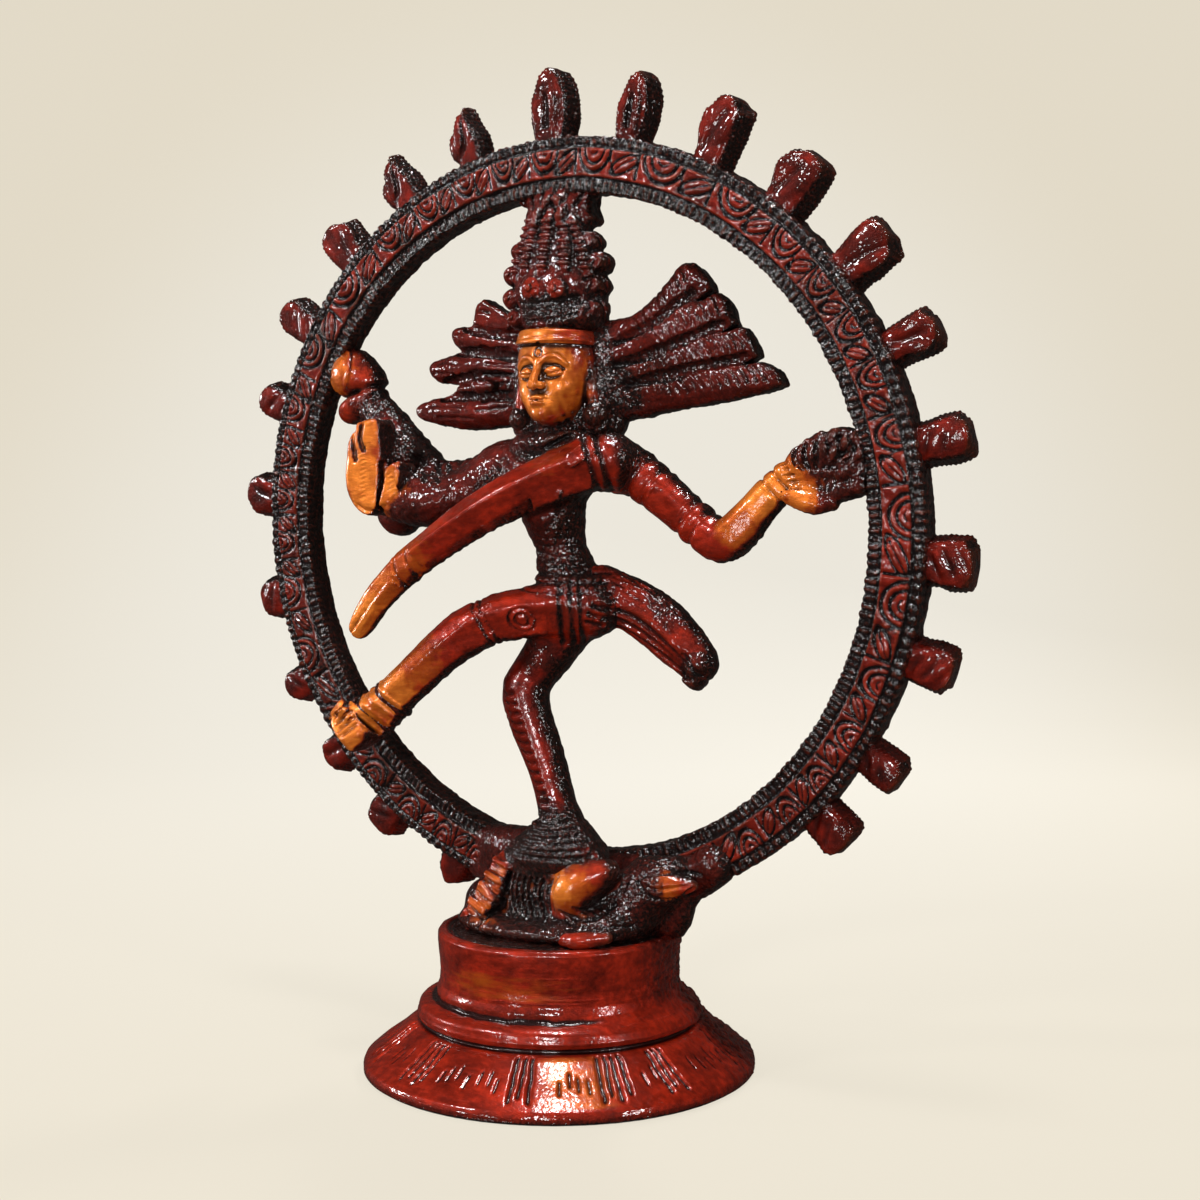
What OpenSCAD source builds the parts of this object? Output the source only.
// Dancing figure in a ring of flames: a small brass household statue.
// Millimetres, Z up, table at Z = 0. The figure faces -Y, and +X is its own left-hand side.

/* [Pedestal] */
// Radius of the skirt on the table
skirt_r = 40; // [39:0.5:42]
// Radius of the round drum above the skirt
drum_r = 25; // [24.5:0.25:26]
// Height of the deck that the dwarf lies on
deck_z = 28.5; // [28:0.25:29]
// Wall left round the hollow underside
wall = 4; // [3:0.5:5]

/* [Flame ring] */
// Radius of the ring's open middle
ring_in_r = 67; // [66.5:0.25:67.5]
// Width of the ring's flat band
band_w = 11.2; // [11:0.1:12]
// Thickness of the band from front to back
band_t = 6.6; // [6:0.1:7]
// Height of the ring's centre
ring_z = 109.8; // [109.5:0.1:110.2]
// Distance of the ring's centre behind the pedestal's axis
ring_y = 2.4; // [2.2:0.1:2.6]
// Forward lean of the ring, which brings its top over the head
ring_lean = 4.4; // [4:0.1:5]
// Number of flames down the figure's left-hand side
left_flames = 10; // [8:10]
// Number of flames down its right-hand side
right_flames = 11; // [9:11]
// Angle between neighbouring flames on the left-hand side
left_step = 13.6; // [13.4:0.1:14]
// Angle between neighbouring flames on the right-hand side
right_step = 14.1; // [13.9:0.1:14.2]
// Length of the flames beside the figure's waist
side_flame = 7.4; // [7:0.2:9]
// Length of the flame at the very top
top_flame = 15; // [14:0.2:15.2]
// Width of the top flame; the others are a little narrower
flame_w = 11; // [10:0.5:12]
// Thickness of the flames, which stand on the back half of the band
flame_t = 4.4; // [4:0.2:5]

/* [Figure] */
// Height of the eyes
eye_z = 141; // [140.5:0.25:141.5]
// Thickness of the hair fans
fan_t = 4.4; // [3.5:0.1:5]
// Diameter of the hand drum's two heads
drum_head_d = 9; // [8:0.25:9.5]
// Smoothness of the round limbs
limb_fn = 14; // [14, 16]

/* [Hidden] */

$fn = 48;
ring_out_r = ring_in_r + band_w;
head_c = [2.5, -4, eye_z];

// Centre lines of the round forms: x, y, z and radius at each station.
torso_line = [[4, 0, 96, 7.4], [0.5, -0.5, 106, 5.2], [-0.5, -1.5, 113, 6.8], [-1, -1.5, 120, 8]];
yoke_line = [[-14, 0, 123, 5], [-1, -1, 123, 6.4], [13, -1, 123, 5.4]];
rear_left_line = [[15, 1, 122, 5], [26, 1, 114.5, 4.3], [36.5, 0, 107, 4.1],
                  [44, 0, 112.5, 3.8], [50, 0.5, 118, 3.4]];
front_left_line = [[13, -4.5, 122.5, 5.2], [3, -9.5, 118.8, 4.6], [-10, -14, 112.4, 4.1],
                   [-26.5, -16, 102.4, 3.4]];
trailing_line = [[-26.5, -16, 102.4, 3.4], [-33.5, -16, 95.8, 3], [-38.5, -16, 90.4, 2.3]];
front_right_line = [[-15, -3, 121, 5], [-25, -7, 115.5, 4.6], [-34, -10, 113.8, 4.8]];
rear_right_line = [[-14, 1.5, 123.5, 4.6], [-25, 1.5, 119.5, 4.4], [-34, 1.5, 120.5, 4.2],
                   [-43, 1.5, 131, 3.6], [-48.5, 1.5, 138, 3.4]];
standing_line = [[1, -1, 90, 6.2], [-7, -4.5, 77, 4.5], [-1.4, -4.5, 63, 4.5],
                 [4, -4.5, 51, 4.2], [3, -5, 46, 5.2]];
raised_line = [[9, -2.5, 93.4, 5.4], [-2, -9, 92.6, 5], [-13, -14, 89, 4.5], [-22, -17, 81, 4.2],
               [-31, -18, 73.3, 3.7]];
raised_foot_line = [[-31, -18, 73.3, 3.7], [-35.5, -19, 69.5, 4], [-38.5, -20, 70, 2.8]];
sash_line = [[10.5, 1, 97, 5.2], [22, 2, 91, 5.6], [29.4, 2, 84.8, 4.8]];

module ball(station) {
    translate([station.x, station.y, station.z]) sphere(station[3], $fn = limb_fn);
}

module limb(line) {
    for (i = [0 : len(line) - 2])
        hull() {
            ball(line[i]);
            ball(line[i + 1]);
        }
}

// A disc square to the line between two stations, at a fraction of the way along it.
module ring_round(from, to, fraction, r, t) {
    run = [for (k = [0 : 2]) to[k] - from[k]];
    at = [for (k = [0 : 2]) from[k] + fraction * run[k]];
    translate(at) rotate([0, acos(run.z / norm(run)), atan2(run.y, run.x)])
        cylinder(r = r, h = t, center = true, $fn = 32);
}

// An ellipsoid with its own three half axes.
module egg(centre, half) {
    translate(centre) scale(half) sphere(1, $fn = 20);
}

// Stands an outline drawn as (x, z) upright, from y = front to y = front + depth.
module upright(front, depth) {
    translate([0, front + depth, 0]) rotate([90, 0, 0]) linear_extrude(depth) children();
}

module torso_form() {
    limb(torso_line);
    limb(yoke_line);
}

module head_form() {
    egg(head_c, [8.3, 8.2, 10.4]);
    limb([[2, -1.5, 127, 5.6], [2.2, -2, 134, 5.2]]);
}

module crown_form() {
    hull() {
        egg([3.2, -2.5, 153], [9.2, 7.5, 4]);
        egg([1.2, -2.5, 163], [11.2, 7, 6]);
        egg([1.5, -2.8, 170.5], [7.5, 5, 4]);
    }
}

module hair_form() {
    hull() {
        egg([3.5, 1.5, 146], [12, 5.5, 7]);
        egg([3, 1.5, 133], [13, 5.5, 6]);
    }
}

// The ring's own frame: its centre at the origin and its band square to Y.
module on_ring() { translate([0, ring_y, ring_z]) rotate([ring_lean, 0, 0]) children(); }

module ring_solid() {
    groove_w = 0.6;
    groove_deep = 0.5;
    on_ring() rotate([90, 0, 0])
        rotate_extrude($fn = 180)
            difference() {
                translate([ring_in_r, -band_t / 2]) square([band_w, band_t]);
                for (side = [-1, 1], r = [ring_in_r + 2.2, ring_in_r + 3.3,
                                          ring_out_r - 3.3, ring_out_r - 2.2])
                    translate([r, side * band_t / 2])
                        square([groove_w, 2 * groove_deep], center = true);
            }
}

// Everything inside the ring's outer edge, which the pieces joined to that edge leave out.
module ring_disc() {
    on_ring() rotate([90, 0, 0]) cylinder(r = ring_out_r, h = 40, center = true, $fn = 180);
}

// A band of flame: narrow at the root, full at the middle, rounded at the tip.
function flame_half(s, w) = w / 2 * (s < 0.7 ? 0.8 + 0.2 * sin(s / 0.7 * 150)
                                             : 0.9 * sqrt(1 - pow((s - 0.7) / 0.34, 2)));

module flame_outline(w, len) {
    root = 1.5;
    steps = 8;
    right = [for (i = [0 : steps]) [flame_half(i / steps, w), ring_out_r - root
                                                        + i / steps * (len + root)]];
    left = [for (i = [steps : -1 : 0]) [-right[i].x, right[i].y]];
    polygon(concat(right, left));
}

module flame(angle, w, len) {
    on_ring() rotate([0, angle, 0])
        difference() {
            upright(-0.4, flame_t) flame_outline(w, len);
            rotate([90, 0, 0])
                cylinder(r = ring_out_r, h = 20, center = true, $fn = 180);
        }
}

module leg_form() { limb(raised_line); }

module body_form() { egg([1.5, -4.5, 36.8], [13.5, 7.8, 8.8]); }

module thigh_form() {
    hull() {
        egg([11.5, -9, 36.5], [4.6, 4.2, 5.2]);
        egg([17, -5, 38.5], [4, 4, 3.6]);
    }
}

module saddle_form() {
    upright(3, 9.4)
        polygon([[-20, deck_z], [21, deck_z], [34, deck_z + 10], [24, deck_z + 15],
                 [-16, deck_z + 14], [-27, deck_z + 9]]);
}

// Everything under the deck, which the pieces that lie on it leave out.
module below_deck() { translate([-50, -50, 0]) cube([100, 100, deck_z]); }

module pedestal() {
    color("sienna")
        difference() {
            rotate_extrude($fn = 96)
                difference() {
                    union() {
                        polygon([[0, 0], [skirt_r - 0.8, 0], [skirt_r, 0.8], [skirt_r, 1.8],
                                 [skirt_r - 3, 3.9], [33, 6.6], [29.6, 10], [drum_r - 0.3, 14],
                                 [drum_r, deck_z - 1.5], [drum_r - 1.5, deck_z], [0, deck_z]]);
                        translate([27, 12]) circle(2.4, $fn = 32);
                    }
                    polygon([[0, -1], [skirt_r - wall, -1], [skirt_r - wall, 0], [26, 6],
                             [drum_r - wall, 13], [drum_r - wall, deck_z - wall],
                             [0, deck_z - wall]]);
                }
            translate([0, 0, deck_z - 0.5])
                difference() {
                    cylinder(r = 22.6, h = 2, $fn = 96);
                    translate([0, 0, -1]) cylinder(r = 21.9, h = 4, $fn = 96);
                }
        }
}

module ring_saddle() {
    color("saddlebrown")
        difference() {
            saddle_form();
            ring_disc();
        }
}

module dwarf_body() {
    color("black")
        difference() {
            body_form();
            saddle_form();
            ring_solid();
            below_deck();
        }
}

module dwarf_head() {
    color("darkorange")
        difference() {
            limb([[-8.5, -8.5, 41.5, 2.6], [-11, -9.5, 37, 3.2], [-14, -10, 31.5, 3.2]]);
            body_form();
            below_deck();
        }
}

module dwarf_thigh() {
    color("orange")
        difference() {
            thigh_form();
            body_form();
            below_deck();
        }
}

module dwarf_hand() {
    color("firebrick")
        difference() {
            egg([12, -12, 30], [5.4, 3, 2.2]);
            body_form();
            thigh_form();
            below_deck();
        }
}

module dwarf_foot() {
    color("orangered")
        difference() {
            hull() {
                egg([21.5, 2, 37], [4, 3.4, 3]);
                egg([28.5, 2.6, 38.4], [4, 2.6, 2.4]);
            }
            thigh_form();
            saddle_form();
            ring_solid();
        }
}

module ring_band() { color("darkred") ring_solid(); }

module side_flames(count, step, side) {
    for (i = [1 : count]) {
        rise = (top_flame - side_flame) * pow(1 - i * step / 160, 2.4);
        flame(side * i * step, flame_w * 0.86, side_flame + rise);
    }
}

module ring_flames() {
    color("firebrick") {
        side_flames(left_flames, left_step, 1);
        side_flames(right_flames, right_step, -1);
    }
}

module top_flame_tip() { color("firebrick") flame(0, flame_w, top_flame); }

module torso() { color("saddlebrown") torso_form(); }

module shoulder_collar() {
    color("maroon")
        difference() {
            egg([1.5, -2, 126.5], [10.5, 6.5, 3]);
            torso_form();
            head_form();
        }
}

module head() {
    color("orange")
        difference() {
            head_form();
            torso_form();
        }
}

module headband() {
    color("darkorange")
        difference() {
            intersection() {
                egg(head_c + [0, 0, 0.5], [9.4, 9.3, 11.6]);
                translate([-20, -20, eye_z + 5.2]) cube([40, 40, 2.8]);
            }
            head_form();
        }
}

module crown() {
    color("darkred")
        difference() {
            crown_form();
            head_form();
            translate([-20, -20, eye_z]) cube([40, 40, 8]);
        }
}

module crown_bosses() {
    color("crimson")
        difference() {
            union() {
                egg([-1.5, -9.2, 158.5], [3.2, 2.4, 3.2]);
                egg([6.5, -9, 158], [2.8, 2.4, 2.8]);
            }
            crown_form();
        }
}

module crest_web() {
    color("maroon")
        difference() {
            hull() {
                egg([1.5, -2.8, 171], [7.2, 3.6, 3]);
                on_ring() translate([-9, -band_t / 2, ring_in_r - 0.5]) cube([21, band_t, 1]);
            }
            crown_form();
            ring_solid();
        }
}

module hair_mass() {
    color("black")
        difference() {
            hair_form();
            head_form();
            torso_form();
            crown_form();
            translate([-20, -20, eye_z + 5.2]) cube([40, 40, 40]);
        }
}

// Strands that spread from a root between two points; each ends in its own blunt tip.
module fan(root_top, root_low, tips, tip_r) {
    last = len(tips) - 1;
    for (i = [0 : last])
        upright(1.8 - fan_t / 2, fan_t)
            hull() {
                translate(root_top + i / last * (root_low - root_top)) circle(4, $fn = 20);
                translate(tips[i]) circle(tip_r, $fn = 16);
            }
}

module left_hair_fan() {
    color("maroon")
        difference() {
            fan([13, 147], [14, 136], [[28.8, 157.5], [37, 151], [42.5, 144.5], [46.5, 138.8]], 2);
            hair_form();
        }
}

module right_hair_fan() {
    color("maroon")
        difference() {
            fan([-8, 148], [-9, 136], [[-17, 155.5], [-27, 149.5], [-32, 143.5], [-35, 136]], 2.2);
            hair_form();
        }
}

module ear_discs() {
    color("black")
        for (side = [-1, 1])
            translate([head_c.x + side * 9.2, -4.5, 132.5]) rotate([0, 90, 0])
                cylinder(d = 5, h = 2, center = true);
}

module rear_left_arm() {
    color("firebrick")
        difference() {
            limb(rear_left_line);
            torso_form();
        }
}

module hand_flame() {
    color("darkorange")
        difference() {
            hull() {
                egg([54, 0.5, 119], [4.4, 3.2, 3.8]);
                egg([58.6, 1, 123.8], [3.6, 2.4, 3.6]);
                egg([64, 1.8, 119.6], [3.6, 2.4, 3.6]);
                egg([58.4, 0.6, 114.6], [3.2, 2.2, 2.6]);
            }
            limb(rear_left_line);
            ring_solid();
        }
}

module front_left_arm() {
    color("firebrick")
        difference() {
            limb(front_left_line);
            torso_form();
        }
}

module trailing_hand() {
    color("orange")
        difference() {
            limb(trailing_line);
            limb(front_left_line);
        }
}

module front_right_arm() {
    color("saddlebrown")
        difference() {
            limb(front_right_line);
            torso_form();
            limb(rear_right_line);
        }
}

module open_hand() {
    color("orange")
        difference() {
            hull() {
                egg([-37, -12, 117], [5, 3.4, 4.4]);
                egg([-39, -13, 123], [5.6, 2.6, 5]);
                egg([-38.5, -12.5, 129.5], [4, 2, 3]);
            }
            limb(front_right_line);
        }
}

module rear_right_arm() {
    color("saddlebrown")
        difference() {
            limb(rear_right_line);
            torso_form();
        }
}

module hand_drum() {
    color("darkorange")
        difference() {
            translate([-52.5, 1.5, 142.5]) rotate([0, -18, 0])
                for (end = [0, 180]) rotate([end, 0, 0])
                    cylinder(d1 = drum_head_d * 0.62, d2 = drum_head_d, h = 4.6, $fn = 32);
            limb(rear_right_line);
            ring_solid();
        }
}

module hip_girdle() {
    color("maroon")
        difference() {
            egg([4, -0.5, 98.2], [9, 8, 2.4]);
            torso_form();
            leg_form();
        }
}

module standing_leg() {
    color("saddlebrown")
        difference() {
            limb(standing_line);
            torso_form();
            leg_form();
            body_form();
        }
}

module raised_leg() {
    color("firebrick")
        difference() {
            leg_form();
            torso_form();
        }
}

module raised_foot() {
    color("orange")
        difference() {
            limb(raised_foot_line);
            leg_form();
            ring_solid();
        }
}

module ankle_rings() {
    knee_end = raised_line[len(raised_line) - 2];
    foot_end = raised_line[len(raised_line) - 1];
    color("black")
        difference() {
            union() {
                ring_round(knee_end, foot_end, 0.5, 4.5, 0.9);
                ring_round(knee_end, foot_end, 0.82, 4.3, 0.9);
            }
            leg_form();
        }
}

module waist_sash() {
    color("maroon")
        difference() {
            limb(sash_line);
            torso_form();
            leg_form();
            limb(standing_line);
        }
}

module sash_end() {
    color("black")
        difference() {
            egg([31.6, 2, 81.6], [3.4, 4.2, 3.8]);
            limb(sash_line);
        }
}

pedestal();
ring_saddle();
dwarf_body();
dwarf_head();
dwarf_thigh();
dwarf_hand();
dwarf_foot();
ring_band();
ring_flames();
top_flame_tip();
torso();
shoulder_collar();
head();
headband();
crown();
crown_bosses();
crest_web();
hair_mass();
left_hair_fan();
right_hair_fan();
ear_discs();
rear_left_arm();
hand_flame();
front_left_arm();
trailing_hand();
front_right_arm();
open_hand();
rear_right_arm();
hand_drum();
hip_girdle();
standing_leg();
raised_leg();
raised_foot();
ankle_rings();
waist_sash();
sash_end();
